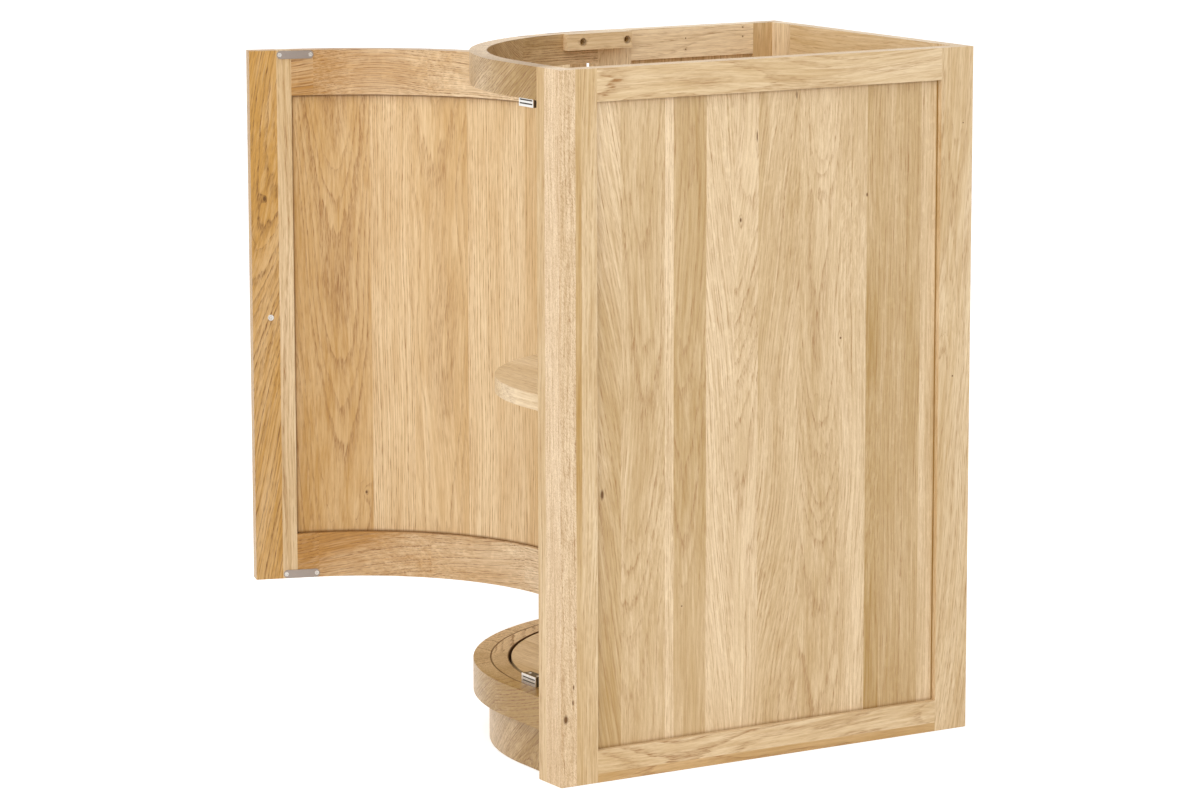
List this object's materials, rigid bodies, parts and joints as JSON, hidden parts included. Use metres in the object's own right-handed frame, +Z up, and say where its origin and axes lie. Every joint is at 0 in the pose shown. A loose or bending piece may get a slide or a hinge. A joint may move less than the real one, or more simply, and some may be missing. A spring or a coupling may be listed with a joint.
{
  "type": "curved base cabinet",
  "caption": "Oak base cabinet with a rounded front corner, framed walls, one shelf and a bowed framed door on butt hinges, standing open.",
  "frame": {"origin": "on the floor, under the middle of the cabinet's back face", "axes": "+X to the right as seen from the front, +Y to the back, +Z up"},
  "size_m": [0.8846, 0.6, 0.87],
  "materials": {
    "oak_posts": "clear satin oil on planed oak, upright grain",
    "oak_rails": "clear satin oil on planed oak, level grain",
    "oak_panels": "clear satin oil on edge-jointed oak boards",
    "oak_curves": "clear satin oil on sawn and glued oak segments",
    "oak_boards": "clear satin oil on edge-jointed oak boards",
    "oak_inner": "planed oak blocks and battens",
    "oak_turned": "turned oak with a satin oil",
    "beech_pins": "plain beech dowels and pegs",
    "brass_hinge": "satin brass",
    "steel_plate": "plain rolled steel",
    "steel_screw": "zinc-plated steel",
    "brown_plastic": "moulded brown plastic"
  },
  "bodies": {
    "carcass": {"back_bottom_rail": "oak_rails", "back_left_stile": "oak_posts", "back_panel": "oak_panels", "back_right_stile": "oak_posts", "back_top_rail": "oak_rails", "bottom_curved_rail": "oak_curves", "bottom_curved_stop": "oak_curves", "catch_screws": "steel_screw", "curved_plinth": "oak_curves", "curved_rail_dowels": "beech_pins", "fixing_block_screws": "steel_screw", "floor_batten_back": "oak_inner", "floor_batten_left": "oak_inner", "floor_batten_right": "oak_inner", "floor_board": "oak_boards", "hinge_wall_screws": "steel_screw", "left_back_stile": "oak_posts", "left_bottom_rail": "oak_rails", "left_fixing_block": "oak_inner", "left_front_stile": "oak_posts", "left_panel": "oak_panels", "left_top_rail": "oak_rails", "lower_catch_body": "brown_plastic", "lower_catch_face": "steel_plate", "lower_hinge_pin": "brass_hinge", "lower_hinge_wall_leaf": "brass_hinge", "plinth_block_left": "oak_inner", "plinth_block_right": "oak_inner", "post_fixing_block": "oak_inner", "post_inner_strip": "oak_posts", "post_outer_strip": "oak_posts", "right_back_stile": "oak_posts", "right_bottom_rail": "oak_rails", "right_bottom_strip": "oak_rails", "right_front_stile": "oak_posts", "right_panel": "oak_panels", "right_top_rail": "oak_rails", "shelf": "oak_boards", "shelf_pegs": "beech_pins", "top_curved_rail": "oak_curves", "upper_catch_body": "brown_plastic", "upper_catch_face": "steel_plate", "upper_hinge_pin": "brass_hinge", "upper_hinge_wall_leaf": "brass_hinge"},
    "door": {"door_stile_outer_strip": "oak_posts", "door_stile_inner_strip": "oak_posts", "door_hinge_stile": "oak_posts", "door_top_rail": "oak_curves", "door_bottom_rail": "oak_curves", "door_panel": "oak_panels", "door_knob": "oak_turned", "lower_strike_plate": "steel_plate", "upper_strike_plate": "steel_plate", "lower_hinge_door_leaf": "brass_hinge", "upper_hinge_door_leaf": "brass_hinge", "hinge_door_screws": "steel_screw", "strike_plate_screws": "steel_screw", "knob_screw": "steel_screw"}
  },
  "joints": [
    {"name": "door_hinge", "type": "hinge", "parent": "carcass", "child": "door", "pos_m": [-0.226, -0.28925, 0], "axis": [0, 0, -1], "range_deg": [-107, 63]}
  ]
}
